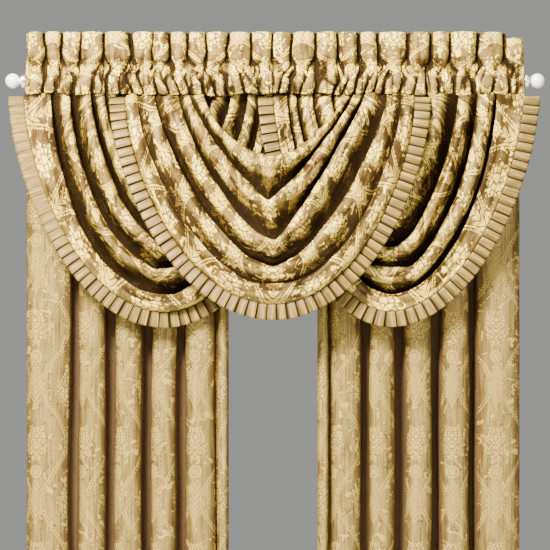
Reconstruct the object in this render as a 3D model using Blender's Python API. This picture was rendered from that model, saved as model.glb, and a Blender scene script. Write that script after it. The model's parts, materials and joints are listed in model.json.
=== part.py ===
"""Three overlapping swags with a pleated edging, above a pair of long panels, on a double rod.

Metres, +Z up. The wall is the plane Y = 0 and the front is towards -Y. The origin lies on the wall,
midway between the two brackets and level with the rods' centres. Sizes in the tables are millimetres.
"""

import math

import bmesh
import bpy
import numpy as np

MM = 0.001

# Rods, in millimetres
FRONT_ROD_Y = -150.0
REAR_ROD_Y = -62.0
FRONT_ROD_RADIUS = 12.5
REAR_ROD_RADIUS = 8.0
FRONT_ROD_HALF = 779.3
REAR_ROD_HALF = 783.0
FIT_GAP = 0.3

# Brackets and finials, in millimetres
CUP_INNER_X = 768.5
CUP_WIDTH = 10.5
CUP_RADIUS = 22.0
REAR_CUP_RADIUS = 13.5
ARM_TOP_Z = -11.0
ARM_HEIGHT = 11.0
PLATE_THICKNESS = 4.0
PLATE_WIDTH = 26.0
PLATE_TOP_Z = 32.0
PLATE_BOTTOM_Z = -46.0
FINIAL_BALL_RADIUS = 23.0
FINIAL_BALL_X = 807.6
FINIAL_COLLAR_RADIUS = 14.0
FINIAL_COLLAR_LENGTH = 2.6
FINIAL_NECK_RADIUS = 7.0

# Cloth, in millimetres
CLOTH = 2.0
MITRE_LIMIT = 2.0
HEADING_HALF = 766.0
HEADING_TOP_Z = 148.0
HEADING_FOOT_Z = -48.5
SWAG_TOP_Z = HEADING_FOOT_Z - 0.6
EDGING_WIDTH = 48.0
EDGING_CLOTH = 2.4
EDGING_SEAM_GAP = 1.6
EDGING_TOP_DROP = 9.0
PLEAT_PITCH = 28.0
PLEAT_STEP_SEAM = 2.0
PLEAT_STEP_RIM = 4.0
EDGING_FLARE = 3.0

# Where the dark gaps between the heading's puffs lie along the rod
HEADING_GAPS = (
    -766, -708, -660, -598, -525, -444, -376, -326, -268, -213, -145, -74,
    -6, 51, 126, 194, 259, 316, 405, 480, 539, 628, 711, 766,
)
# Share of a puff's width, and how far forward its cloth stands there, from 0 in the gap to 1
PUFF_SHAPE = ((0.0, 0.0), (0.17, 0.8), (0.56, 1.0), (0.86, 0.74))
PUFF_DEPTH = 21.0

# One row for each fold line of a swag, from the top roll down to the hem:
# left and right where it leaves the heading, its lowest point, how full its two arms hang,
# and the depth of the pocket below it as a share of the deepest one.
LINE_COLUMNS = ("left", "right", "low_x", "low_z", "full_left", "full_right", "depth")
CENTRE_LINES = (
    (-219, 209, -18, -228, 0.20, 0.12, 1.0),
    (-265, 242, -25, -360, 0.10, 0.10, 1.0),
    (-296, 279, 0, -487, 0.40, 0.00, 1.0),
    (-370, 345, -6, -619, 0.45, 0.40, 0.35),
    (-422, 388, 3, -656, 0.80, 0.80, 0.3),
    (-459, 428, -3, -685, 1.00, 1.00, 0.3),
)
LEFT_LINES = (
    (-490, -191, -342, -268, 0.40, 0.40, 0.9),
    (-525, -136, -342, -403, 0.50, 0.50, 1.0),
    (-567, -83, -342, -502, 0.65, 0.60, 1.0),
    (-631, -37, -342, -576, 0.95, 0.80, 1.0),
    (-690, 18, -342, -656, 1.10, 0.90, 0.3),
    (-771, 74, -342, -711, 0.95, 0.95, 0.3),
)
RIGHT_LINES = (
    (213, 428, 354, -259, 0.40, 0.40, 0.9),
    (172, 474, 354, -403, 0.50, 0.50, 1.0),
    (114, 564, 354, -514, 0.60, 0.65, 1.0),
    (65, 622, 354, -582, 0.80, 0.95, 1.0),
    (37, 682, 354, -653, 0.90, 1.00, 0.3),
    (-4, 764, 354, -708, 0.90, 0.90, 0.3),
)

# How far a swag stands in front of the front rod: at the heading, and what is added lower down.
# The last two columns hold the share of that depth at which the hem hangs, at its left and right.
DEPTH_COLUMNS = ("valley", "crest", "valley_gain", "crest_gain", "hem_left", "hem_right")
CENTRE_DEPTH = (7.0, 15.0, 54.0, 108.0, 0.25, 0.25)
LEFT_DEPTH = (-15.0, -7.0, -26.0, 52.0, 0.60, 0.0)
RIGHT_DEPTH = (-4.0, 4.0, -34.0, 46.0, 0.60, 0.60)
DEPTH_LENGTH = 70.0
# Where the left and right swags cross behind the centre one, each keeps to its own thin layer.
LEFT_TUCK = (-234.0, -110.0, "crest", 4.0)
RIGHT_TUCK = (212.0, 105.0, "valley", 14.0)

# Section of one fold: share of the way down to the next line, and share of the depth, 1 foremost.
FOLD_PROFILE = ((0.0, 0.80), (0.25, 1.0), (0.65, 0.72), (1.07, 0.0), (1.08, 0.5))
SHALLOW_PROFILE = ((0.0, 0.80), (0.25, 1.0), (0.65, 0.72), (0.97, 0.0))
LIP_PROFILE = ((0.32, 0.30), (-0.04, 0.48))
HEM_PROFILE = ((0.0, 0.80), (0.45, 0.86))
MEAN_DEPTH = 0.62
SWAG_COLUMNS = 21

# Left panel: left and right shoulder of each puff, and how far back the fold after it reaches.
PANEL_COLUMNS = ("left", "right", "fold_back")
PANEL_PUFFS = (
    (-774, -634, 62.0),
    (-613, -527, 66.0),
    (-499, -413, 66.0),
    (-385, -308, 62.0),
    (-277, -190, 26.0),
    (-180, -145, 0.0),
)
PANEL_TOP_LEFT = -757.0
PANEL_TOP_RIGHT = -160.0
PANEL_FRONT = 32.0
PANEL_SHOULDER = 24.0
PANEL_GATHER = 4.0
PANEL_HEADER_Z = 36.0
PANEL_POCKET_FOOT_Z = -42.0
PANEL_ROWS = (-150.0, -320.0, -1200.0, -2090.0)
PANEL_FULL_Z = -320.0
PANEL_FOLD_SLOPE = 5.0
RIGHT_PANEL_SHIFT = -12.0


def clear_scene():
    for obj in list(bpy.data.objects):
        bpy.data.objects.remove(obj, do_unlink=True)


def make_material(name, colour, roughness, metallic=0.0):
    material = bpy.data.materials.new(name)
    material.use_nodes = True
    shader = material.node_tree.nodes["Principled BSDF"]
    shader.inputs["Base Color"].default_value = (*colour, 1.0)
    shader.inputs["Roughness"].default_value = roughness
    shader.inputs["Metallic"].default_value = metallic
    return material


def add_object(name, vertices, faces, material):
    """A named object from points in millimetres, its faces turned outwards."""
    mesh = bpy.data.meshes.new(name)
    bm = bmesh.new()
    made = [bm.verts.new(tuple(float(c) * MM for c in v)) for v in vertices]
    for face in faces:
        bm.faces.new([made[i] for i in face])
    bmesh.ops.recalc_face_normals(bm, faces=bm.faces)
    bm.to_mesh(mesh)
    bm.free()
    mesh.materials.append(material)
    obj = bpy.data.objects.new(name, mesh)
    bpy.context.scene.collection.objects.link(obj)
    return obj


def smoothstep(value, start, end):
    share = np.clip((value - start) / (end - start), 0.0, 1.0)
    return share * share * (3.0 - 2.0 * share)


def unit(vectors):
    return vectors / np.linalg.norm(vectors, axis=-1, keepdims=True)


def stretches(grid, axis):
    """The step to each point from the one before it, and from it to the next, along one axis."""
    steps = np.diff(grid, axis=axis)
    first, last = (np.take(steps, [k], axis=axis) for k in (0, -1))
    return np.concatenate([first, steps], axis=axis), np.concatenate([steps, last], axis=axis)


def mitred(normals):
    """The way to offset a fold's edge so that the cloth on both sides of it keeps its thickness."""
    total = unit(sum(normals))
    reach = np.min([np.sum(total * normal, axis=-1, keepdims=True) for normal in normals], axis=0)
    return total / np.clip(reach, 1 / MITRE_LIMIT, 1.0)


def split(corners, points):
    """A four-cornered patch of cloth as two triangles, cut along its shorter diagonal at these points."""
    a, b, c, d = corners
    if np.linalg.norm(points[0] - points[2]) <= np.linalg.norm(points[1] - points[3]):
        return [[a, b, c], [a, c, d]]
    return [[a, b, d], [b, c, d]]


def add_sheet(name, grid, thickness, material, level_ends=False):
    """A closed sheet of even thickness about a grid of points, (rows, columns, 3).

    Both faces are cut into triangles alike, so they stay the cloth's thickness apart where it twists.
    """
    normals = [np.cross(across, down) for across in stretches(grid, 1) for down in stretches(grid, 0)]
    if level_ends:
        for normal in normals:
            normal[:, (0, -1), 2] = 0.0
    half = mitred([unit(normal) for normal in normals]) * thickness / 2
    rows, columns = grid.shape[:2]
    count = rows * columns
    vertices = np.concatenate([(grid + half).reshape(-1, 3), (grid - half).reshape(-1, 3)])

    def index(row, column, side):
        return side * count + row * columns + column

    faces = []
    for side in (0, 1):
        for r in range(rows - 1):
            for c in range(columns - 1):
                places = ((r, c), (r, c + 1), (r + 1, c + 1), (r + 1, c))
                faces += split([index(*place, side) for place in places], [grid[place] for place in places])
    for r in range(rows - 1):
        for c in (0, columns - 1):
            faces.append([index(r, c, 0), index(r + 1, c, 0), index(r + 1, c, 1), index(r, c, 1)])
    for c in range(columns - 1):
        for r in (0, rows - 1):
            faces.append([index(r, c, 0), index(r, c + 1, 0), index(r, c + 1, 1), index(r, c, 1)])
    return add_object(name, vertices, faces, material)


def add_pocketed_cloth(name, front, back, hole, first, material):
    """Cloth with a rod pocket. front and back are (columns, points, 3) from the top edge to the foot.

    The hole's eight points stand opposite front points first to first + 3, then back ones upwards.
    """
    columns, points = front.shape[:2]
    ring = np.concatenate([front, back[:, ::-1], hole], axis=1)
    per_column = ring.shape[1]
    outer = 2 * points

    def index(column, place):
        return column * per_column + place

    def opposite(place):
        return outer - 1 - place

    middle = (front + back) / 2
    faces = []
    for c in range(columns - 1):
        for k in range(points - 1):
            places = ((c, k), (c, k + 1), (c + 1, k + 1), (c + 1, k))
            corners = [middle[place] for place in places]
            faces += split([index(i, p) for i, p in places], corners)
            faces += split([index(i, opposite(p)) for i, p in places], corners)
        for a, b in ((points - 1, points), (outer - 1, 0)):
            faces.append([index(c, a), index(c, b), index(c + 1, b), index(c + 1, a)])
        for k in range(8):
            a, b = outer + k, outer + (k + 1) % 8
            faces.append([index(c, a), index(c, b), index(c + 1, b), index(c + 1, a)])
    last = first + 3
    for c in (0, columns - 1):
        for k in range(points - 1):
            if not first <= k < last:
                faces.append([index(c, p) for p in (k, k + 1, opposite(k + 1), opposite(k))])
                continue
            i = outer + k - first
            j = outer + 7 - (k - first)
            faces.append([index(c, p) for p in (k, k + 1, i + 1, i)])
            faces.append([index(c, p) for p in (opposite(k), opposite(k + 1), j - 1, j)])
        faces.append([index(c, p) for p in (first, opposite(first), outer + 7, outer)])
        faces.append([index(c, p) for p in (last, opposite(last), outer + 4, outer + 3)])
    return add_object(name, ring.reshape(-1, 3), faces, material)


def rod_hole(x, rod_y, section):
    """The pocket's eight inner points round a rod, from half a section of (height, forward) pairs."""
    front = [(x, rod_y - forward, z) for z, forward in section]
    back = [(x, rod_y + forward, z) for z, forward in reversed(section)]
    return front + back


def heading_columns():
    """Pairs of a place along the rod and how far forward the puff stands there, 0 to 1."""
    columns = []
    for left, right in zip(HEADING_GAPS, HEADING_GAPS[1:]):
        for share, forward in PUFF_SHAPE:
            columns.append((left + share * (right - left), forward))
    columns.append((HEADING_GAPS[-1], 0.0))
    return columns


def add_heading(material):
    """One gathered strip: a frill standing above the rod, and the pocket that the rod runs through."""
    # Height, front and back offset from the rod, and the share of the puffs' depth there.
    section = (
        (HEADING_TOP_Z, 2.2, -2.2, 1.0),
        (86.0, 2.6, -2.6, 1.0),
        (26.0, 6.5, -6.5, 0.22),
        (10.0, 19.0, -17.5, 0.16),
        (-14.0, 20.0, -18.0, 0.20),
        (HEADING_FOOT_Z, 15.0, -15.0, 0.16),
    )
    hole = ((13.0, 6.0), (7.5, 12.6), (-8.0, 13.6), (-36.0, 4.0))
    front, back, holes = [], [], []
    for x, puff in heading_columns():
        swing = (puff - 0.5) * PUFF_DEPTH
        front.append([(x, FRONT_ROD_Y - ahead - share * swing, z) for z, ahead, _, share in section])
        back.append([(x, FRONT_ROD_Y - behind - share * swing, z) for z, _, behind, share in section])
        holes.append(rod_hole(x, FRONT_ROD_Y, hole))
    add_pocketed_cloth("heading", np.array(front), np.array(back), np.array(holes), 2, material)


def fold_line(line, across):
    """X and Z along one fold line; across runs from -1 at the left arm to 1 at the right arm."""
    row = dict(zip(LINE_COLUMNS, line))
    left_arm = across < 0
    reach = np.where(left_arm, row["low_x"] - row["left"], row["right"] - row["low_x"])
    full = np.where(left_arm, row["full_left"], row["full_right"])
    roundness = 1.2 + 0.8 * full
    steepness = 1.0 + 0.6 * full
    drop = (1.0 - np.abs(across) ** roundness) ** (1.0 / steepness)
    x = row["low_x"] + across * reach
    z = SWAG_TOP_Z + (row["low_z"] - SWAG_TOP_Z) * drop
    return x, z


def swag_rows(lines):
    """One tuple for each row of a swag: upper line, lower line, share of the way, share of depth."""
    rows = [(0, 1, share, depth) for share, depth in LIP_PROFILE]
    last = len(lines) - 1
    for k in range(last):
        strength = lines[k][LINE_COLUMNS.index("depth")]
        profile = FOLD_PROFILE if strength > 0.5 else SHALLOW_PROFILE
        if k == last - 1:
            profile = HEM_PROFILE
        for share, depth in profile:
            rows.append((k, k + 1, share, MEAN_DEPTH + (depth - MEAN_DEPTH) * strength))
    rows.append((last - 1, last, 1.0, None))
    return rows


def forward_of(depth_row, tuck, x, z, share):
    """How far in front of the front rod a swag's cloth stands."""
    depth = dict(zip(DEPTH_COLUMNS, depth_row))
    growth = 1.0 - np.exp(-np.maximum(SWAG_TOP_Z - z, 0.0) / DEPTH_LENGTH)
    gains = {"valley": depth["valley_gain"], "crest": depth["crest_gain"]}
    if tuck:
        start, end, which, tucked = tuck
        share_tucked = smoothstep(x, start, end)
        gains[which] = gains[which] * (1.0 - share_tucked) + tucked * share_tucked
    valley = depth["valley"] + gains["valley"] * growth
    crest = depth["crest"] + gains["crest"] * growth
    return valley + share * (crest - valley)


def swag_grid(lines, depth_row, tuck):
    """The swag's middle surface, (rows, columns, 3): rows from the tucked lip down to the hem."""
    turn = np.linspace(0.0, math.pi, SWAG_COLUMNS)
    turn[[1, -2]] += (-0.3 * turn[1], 0.3 * turn[1])
    across = -np.cos(turn)
    curves = [fold_line(line, across) for line in lines]
    hem_left, hem_right = depth_row[4:6]
    hem_share = hem_left + (hem_right - hem_left) * smoothstep(across, -0.6, 0.6)
    grid = []
    # Each fold laps over the next one, apart from its ends, which are drawn up flat into the seam.
    loose = np.clip((1.0 - abs(across)) / 0.05, 0.0, 1.0)
    for upper, lower, way, depth in swag_rows(lines):
        way = min(way, 1.0) + max(way - 1.0, 0.0) * loose
        x = curves[upper][0] + way * (curves[lower][0] - curves[upper][0])
        z = curves[upper][1] + way * (curves[lower][1] - curves[upper][1])
        share = hem_share if depth is None else np.full(SWAG_COLUMNS, depth)
        y = FRONT_ROD_Y - forward_of(depth_row, tuck, x, z, share)
        grid.append(np.stack([x, y, z], axis=1))
    return np.array(grid)


def hem_path(lines, depth_row, tuck, samples=400):
    """Close points along the hem, with the way outwards from it and the length run so far."""
    across = -np.cos(np.linspace(0.0, math.pi, samples))
    x, z = fold_line(lines[-1], across)
    hem_left, hem_right = depth_row[4:6]
    share = hem_left + (hem_right - hem_left) * smoothstep(across, -0.6, 0.6)
    forward = forward_of(depth_row, tuck, x, z, share)
    points = np.stack([x, FRONT_ROD_Y - forward, z], axis=1)
    along = np.gradient(points[:, (0, 2)], axis=0)
    along /= np.linalg.norm(along, axis=1, keepdims=True)
    outward = np.stack([along[:, 1], np.zeros(samples), -along[:, 0]], axis=1)
    run = np.concatenate([[0.0], np.cumsum(np.linalg.norm(np.diff(points, axis=0), axis=1))])
    return points, outward, run


def add_edging(name, lines, depth_row, tuck, material):
    """A strip of knife pleats sewn along the hem, each pleat lapping over the next."""
    points, outward, run = hem_path(lines, depth_row, tuck)
    start, end = EDGING_TOP_DROP, run[-1] - EDGING_TOP_DROP
    pleats = round((end - start) / PLEAT_PITCH)
    pitch = (end - start) / pleats
    grid = []
    for reach_share, step in ((0.0, PLEAT_STEP_SEAM), (1.0, PLEAT_STEP_RIM)):
        row = []
        for k in range(pleats):
            for share, lift in ((0.02, 0.0), (0.93, 1.0)):
                here = start + (k + share) * pitch
                at = np.array([np.interp(here, run, points[:, i]) for i in range(3)])
                way = np.array([np.interp(here, run, outward[:, i]) for i in range(3)])
                way /= np.linalg.norm(way)
                reach = EDGING_SEAM_GAP + reach_share * EDGING_WIDTH
                forward = lift * step + reach_share * EDGING_FLARE
                row.append(at + way * reach + np.array([0.0, -forward, 0.0]))
        grid.append(row)
    add_sheet(name, np.array(grid), EDGING_CLOTH, material)


def panel_columns(mirror):
    """For each column: its place at the top and lower down, its forward place, and its gather.

    A puff has its two shoulders and its middle, and the fold after it two points at its back.
    """
    lower, forward, gather = [], [], []
    for k, puff in enumerate(PANEL_PUFFS):
        row = dict(zip(PANEL_COLUMNS, puff))
        lower += [row["left"], (row["left"] + row["right"]) / 2, row["right"]]
        forward += [PANEL_SHOULDER, PANEL_FRONT, PANEL_SHOULDER]
        gather += [0.0, PANEL_GATHER, 0.0]
        if k < len(PANEL_PUFFS) - 1:
            far = PANEL_PUFFS[k + 1][0]
            slope = min(PANEL_FOLD_SLOPE, 0.35 * (far - row["right"]))
            lower += [row["right"] + slope, far - slope]
            forward += [PANEL_SHOULDER - row["fold_back"]] * 2
            gather += [-PANEL_GATHER] * 2
    upper = list(np.linspace(PANEL_TOP_LEFT, PANEL_TOP_RIGHT, len(lower)))
    columns = np.array([upper, lower, forward, gather])
    if mirror:
        columns = columns[:, ::-1]
        columns[:2] *= -1.0
        columns[1] += RIGHT_PANEL_SHIFT
    return columns


def add_panel(name, mirror, material):
    """A long gathered panel in one piece, its rod pocket on the rear rod."""
    upper, lower, forward, gather = panel_columns(mirror)
    # Height, and front and back offset from the rod, in the pocket and the short frill above it.
    section = (
        (PANEL_HEADER_Z, 1.6, -1.6),
        (17.0, 3.5, -3.5),
        (8.0, 12.8, -12.8),
        (-8.0, 13.2, -13.2),
        (PANEL_POCKET_FOOT_Z, 4.5, -4.5),
    )
    hole = ((8.6, 4.0), (5.0, 8.2), (-5.0, 9.0), (-30.0, 1.6))
    front, back, holes = [], [], []
    for i in range(len(upper)):
        front.append([(upper[i], REAR_ROD_Y - ahead - gather[i] * 0.5, z) for z, ahead, _ in section])
        back.append([(upper[i], REAR_ROD_Y - behind - gather[i] * 0.5, z) for z, _, behind in section])
        holes.append(rod_hole(upper[i], REAR_ROD_Y, hole))
    front, back = np.array(front), np.array(back)
    rows = []
    for z in PANEL_ROWS:
        grown = smoothstep(z, PANEL_POCKET_FOOT_Z, PANEL_FULL_Z)
        x = upper + (lower - upper) * grown
        y = REAR_ROD_Y - gather - (forward - gather) * grown
        rows.append(np.stack([x, y, np.full(len(x), z)], axis=1))
    middle = np.array(rows)
    upright = np.array((0.0, 0.0, 1.0))
    half = mitred([unit(np.cross(along, upright)) for along in stretches(middle, 1)]) * CLOTH / 2
    front = np.concatenate([front, np.swapaxes(middle + half, 0, 1)], axis=1)
    back = np.concatenate([back, np.swapaxes(middle - half, 0, 1)], axis=1)
    add_pocketed_cloth(name, front, back, np.array(holes), 1, material)


def add_rod(name, y, radius, half_length, material):
    bpy.ops.mesh.primitive_cylinder_add(
        vertices=16, radius=radius * MM, depth=2 * half_length * MM,
        location=(0.0, y * MM, 0.0), rotation=(0.0, math.pi / 2, 0.0),
    )
    rod = bpy.context.object
    rod.name = name
    rod.data.materials.append(material)
    rod.data.shade_smooth()
    rod.data.set_sharp_from_angle(angle=math.radians(40.0))


def add_finial(name, side, material):
    """A turned ball with its neck and the collar that plugs the rod's end."""
    start = FRONT_ROD_HALF + FIT_GAP
    collar_end = start + FINIAL_COLLAR_LENGTH
    neck_angle = math.asin(FINIAL_NECK_RADIUS / FINIAL_BALL_RADIUS)
    profile = [(start, 0.0), (start, FINIAL_COLLAR_RADIUS), (collar_end, FINIAL_COLLAR_RADIUS),
               (collar_end, FINIAL_NECK_RADIUS)]
    steps = 9
    for k in range(steps + 1):
        angle = neck_angle + (math.pi - neck_angle) * k / steps
        profile.append((FINIAL_BALL_X - FINIAL_BALL_RADIUS * math.cos(angle),
                        FINIAL_BALL_RADIUS * math.sin(angle)))
    turns = 16
    vertices, faces, rings = [], [], []
    for x, radius in profile:
        if radius < 0.01:
            rings.append([len(vertices)] * turns)
            vertices.append((side * x, FRONT_ROD_Y, 0.0))
            continue
        rings.append([len(vertices) + k for k in range(turns)])
        for k in range(turns):
            turn = 2 * math.pi * k / turns
            vertices.append((side * x, FRONT_ROD_Y + radius * math.cos(turn), radius * math.sin(turn)))
    for first, second in zip(rings, rings[1:]):
        for k in range(turns):
            corners = [first[k], first[(k + 1) % turns], second[(k + 1) % turns], second[k]]
            faces.append(list(dict.fromkeys(corners)))
    finial = add_object(name, vertices, faces, material)
    finial.data.shade_smooth()
    finial.data.set_sharp_from_angle(angle=math.radians(40.0))


def add_boolean(obj, operation, cutter):
    modifier = obj.modifiers.new(cutter.name, "BOOLEAN")
    modifier.operation = operation
    modifier.object = cutter
    cutter.hide_render = True
    cutter.display_type = "WIRE"


def bracket_box(name, x, y_range, z_range, width):
    bpy.ops.mesh.primitive_cube_add(size=1.0)
    box = bpy.context.object
    box.name = name
    box.data.transform(box.matrix_world)
    for vertex in box.data.vertices:
        vertex.co = (
            (x + vertex.co.x * width) * MM,
            (sum(y_range) / 2 + vertex.co.y * (y_range[1] - y_range[0])) * MM,
            (sum(z_range) / 2 + vertex.co.z * (z_range[1] - z_range[0])) * MM,
        )
    return box


def bracket_cylinder(name, x, y, radius, width):
    bpy.ops.mesh.primitive_cylinder_add(
        vertices=24, radius=radius * MM, depth=width * MM,
        location=(x * MM, y * MM, 0.0), rotation=(0.0, math.pi / 2, 0.0),
    )
    cylinder = bpy.context.object
    cylinder.name = name
    return cylinder


def add_bracket(name, side, material):
    """One double bracket: a wall plate, an arm, and a cup ring round each rod."""
    x = side * (CUP_INNER_X + CUP_WIDTH / 2)
    arm_z = (ARM_TOP_Z - ARM_HEIGHT, ARM_TOP_Z)
    bracket = bracket_box(name, x, (FRONT_ROD_Y, -PLATE_THICKNESS / 2), arm_z, CUP_WIDTH)
    plate = bracket_box(name + "_plate", x, (-PLATE_THICKNESS, 0.0),
                        (PLATE_BOTTOM_Z, PLATE_TOP_Z), PLATE_WIDTH)
    cup = bracket_cylinder(name + "_cup", x, FRONT_ROD_Y, CUP_RADIUS, CUP_WIDTH)
    rear_cup = bracket_cylinder(name + "_rear_cup", x, REAR_ROD_Y, REAR_CUP_RADIUS, CUP_WIDTH)
    bore = bracket_cylinder(name + "_bore", x, FRONT_ROD_Y,
                            FRONT_ROD_RADIUS + FIT_GAP, CUP_WIDTH + 8.0)
    rear_bore = bracket_cylinder(name + "_rear_bore", x, REAR_ROD_Y,
                                 REAR_ROD_RADIUS + FIT_GAP, CUP_WIDTH + 8.0)
    for solid in (plate, cup, rear_cup):
        add_boolean(bracket, "UNION", solid)
    for cutter in (bore, rear_bore):
        add_boolean(bracket, "DIFFERENCE", cutter)
    bracket.data.materials.append(material)


def main():
    clear_scene()
    damask = make_material("gold_damask", (0.62, 0.42, 0.17), 0.45)
    panel_cloth = make_material("panel_damask", (0.60, 0.44, 0.22), 0.5)
    edging_cloth = make_material("edging_satin", (0.52, 0.34, 0.13), 0.4)
    nickel = make_material("satin_nickel", (0.75, 0.72, 0.70), 0.35, 1.0)
    pearl = make_material("pearl_ball", (0.80, 0.74, 0.72), 0.25)
    add_rod("front_rod", FRONT_ROD_Y, FRONT_ROD_RADIUS, FRONT_ROD_HALF, nickel)
    add_rod("rear_rod", REAR_ROD_Y, REAR_ROD_RADIUS, REAR_ROD_HALF, nickel)
    for word, side in (("left", -1), ("right", 1)):
        add_finial("finial_" + word, side, pearl)
        add_bracket("bracket_" + word, side, nickel)
        add_panel("panel_" + word, side > 0, panel_cloth)
    add_heading(damask)
    swags = (
        ("left", LEFT_LINES, LEFT_DEPTH, LEFT_TUCK),
        ("right", RIGHT_LINES, RIGHT_DEPTH, RIGHT_TUCK),
        ("centre", CENTRE_LINES, CENTRE_DEPTH, None),
    )
    for word, lines, depth_row, tuck in swags:
        add_sheet("swag_" + word, swag_grid(lines, depth_row, tuck), CLOTH, damask, level_ends=True)
        add_edging("edging_" + word, lines, depth_row, tuck, edging_cloth)


main()
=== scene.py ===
import json
import math

import bmesh
import bpy
import numpy as np
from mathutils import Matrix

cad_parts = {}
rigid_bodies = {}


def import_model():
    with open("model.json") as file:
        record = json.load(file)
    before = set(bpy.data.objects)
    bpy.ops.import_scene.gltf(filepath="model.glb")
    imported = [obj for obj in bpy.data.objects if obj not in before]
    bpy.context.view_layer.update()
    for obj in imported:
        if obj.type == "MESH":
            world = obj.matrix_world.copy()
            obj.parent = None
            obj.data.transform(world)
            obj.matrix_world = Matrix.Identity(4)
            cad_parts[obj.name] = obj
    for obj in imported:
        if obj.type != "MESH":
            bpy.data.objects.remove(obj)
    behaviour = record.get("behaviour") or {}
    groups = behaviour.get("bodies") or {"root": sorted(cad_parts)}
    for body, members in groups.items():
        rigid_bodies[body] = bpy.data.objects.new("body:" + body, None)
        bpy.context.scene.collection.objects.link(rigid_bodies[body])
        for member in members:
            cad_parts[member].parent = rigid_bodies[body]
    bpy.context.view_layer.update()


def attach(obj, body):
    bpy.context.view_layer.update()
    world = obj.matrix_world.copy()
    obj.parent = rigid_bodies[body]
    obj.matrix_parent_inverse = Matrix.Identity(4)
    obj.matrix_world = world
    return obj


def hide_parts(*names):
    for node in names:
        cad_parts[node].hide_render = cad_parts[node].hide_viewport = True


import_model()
for loaded in bpy.data.objects:
    loaded.select_set(False)


# Brackets
# Each is a die-cast double bracket, plated in satin nickel: a wall plate held by two screws, a flat
# arm, and a ring for each rod. The ring round the front rod shows beside the cloth, with its set screw.
NICKEL = "#C9C4BF"
NICKEL_TINT = "#E6E1DC"
FRONT_ROD_Y = -0.150
REAR_ROD_Y = -0.062
CUP_INNER_X = 0.7685
CUP_WIDTH = 0.0105
CUP_RADIUS = 0.022
REAR_CUP_RADIUS = 0.0135
CUP_BORE = 0.0128
REAR_CUP_BORE = 0.0083
ARM_TOP_Z = -0.011
ARM_HEIGHT = 0.011
PLATE = {"width": 0.026, "thickness": 0.004, "top": 0.032, "bottom": -0.046}
SCREW_RADIUS = 0.0042
# Place in depth and height, length of the head and turn of its slot: the ring's set screw, then the
# plate's two.
SCREWS = (
    (FRONT_ROD_Y - CUP_RADIUS + 0.0004, 0.0, 0.0024, 0.6),
    (-PLATE["thickness"], PLATE["top"] - 0.012, 0.0022, 0.2),
    (-PLATE["thickness"], PLATE["bottom"] + 0.010, 0.0022, 0.2),
)
SMOOTH_ANGLE = math.radians(35)


def linear(hex_colour):
    """A linear colour from an sRGB hex value."""
    parts = [int(hex_colour[i:i + 2], 16) / 255 for i in (1, 3, 5)]
    return tuple(c / 12.92 if c <= 0.04045 else ((c + 0.055) / 1.055) ** 2.4 for c in parts) + (1.0,)


def add_node(material, kind, inputs=(), **settings):
    """Adds a node with its settings, each input fed by a value or an output. Gives its first output."""
    node = material.node_tree.nodes.new("ShaderNode" + kind)
    for name, value in settings.items():
        setattr(node, name, value)
    for key, value in (inputs.items() if isinstance(inputs, dict) else enumerate(inputs)):
        if isinstance(value, bpy.types.NodeSocket):
            material.node_tree.links.new(value, node.inputs[key])
        elif value is not None:
            node.inputs[key].default_value = value
    return node.outputs[0] if node.outputs else None


def new_material(name):
    material = bpy.data.materials.new(name)
    material.use_nodes = True
    material.node_tree.nodes.clear()
    return material


def satin_nickel():
    """Electroplated nickel over a cast body, brushed to a satin: faint fine scratches and soft glare."""
    material = new_material("satin_nickel_plate")
    place = add_node(material, "TexCoord").node.outputs["Object"]
    grain_place = add_node(material, "Mapping", {"Vector": place, "Scale": (90.0, 900.0, 900.0)})
    grain = add_node(material, "TexNoise", {"Vector": grain_place, "Scale": 1.0, "Detail": 3.0})
    tint = add_node(material, "MapRange", {0: grain, 1: 0.3, 2: 0.7, 3: 0.0, 4: 1.0})
    colour = add_node(material, "MixRGB", (tint, linear(NICKEL), linear(NICKEL_TINT)))
    rough = add_node(material, "MapRange", {0: grain, 1: 0.2, 2: 0.8, 3: 0.24, 4: 0.38})
    bump = add_node(material, "Bump", {"Strength": 0.15, "Distance": 0.0003, "Height": grain})
    shader = add_node(material, "BsdfPrincipled", {
        "Base Color": colour, "Metallic": 1.0, "Roughness": rough, "Normal": bump})
    add_node(material, "OutputMaterial", {"Surface": shader})
    return material


def select_only(obj):
    bpy.ops.object.select_all(action="DESELECT")
    obj.select_set(True)
    bpy.context.view_layer.objects.active = obj


def apply_modifier(obj, kind, **settings):
    """Adds a modifier with its settings and applies it."""
    select_only(obj)
    modifier = obj.modifiers.new(kind.title(), kind)
    for name, value in settings.items():
        setattr(modifier, name, value)
    bpy.ops.object.modifier_apply(modifier=modifier.name)


def combine(obj, other, operation):
    """Joins another solid to a piece or cuts it away, and removes the other solid."""
    apply_modifier(obj, "BOOLEAN", operation=operation, object=other)
    bpy.data.objects.remove(other, do_unlink=True)


def smooth_faces(obj):
    """Shades rounded faces smooth and keeps the corners sharp."""
    select_only(obj)
    bpy.ops.object.shade_smooth_by_angle(angle=SMOOTH_ANGLE)


def settle(obj, name, material, body="root"):
    """Names a finished piece, moves its place into its mesh, and sets its finish and body."""
    select_only(obj)
    bpy.ops.object.transform_apply(location=True, rotation=True, scale=True)
    obj.name = name
    obj.data.name = name
    obj.data.materials.clear()
    obj.data.materials.append(material)
    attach(obj, body)
    return obj


def add_ring(x, y, radius, bore, width):
    """A turned ring about a rod, bored through."""
    turned = []
    for size, depth in ((radius, width), (bore, width * 2)):
        bpy.ops.mesh.primitive_cylinder_add(vertices=64, radius=size, depth=depth,
                                            location=(x, y, 0), rotation=(0, math.pi / 2, 0))
        turned.append(bpy.context.object)
    combine(*turned, "DIFFERENCE")
    return turned[0]


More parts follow.
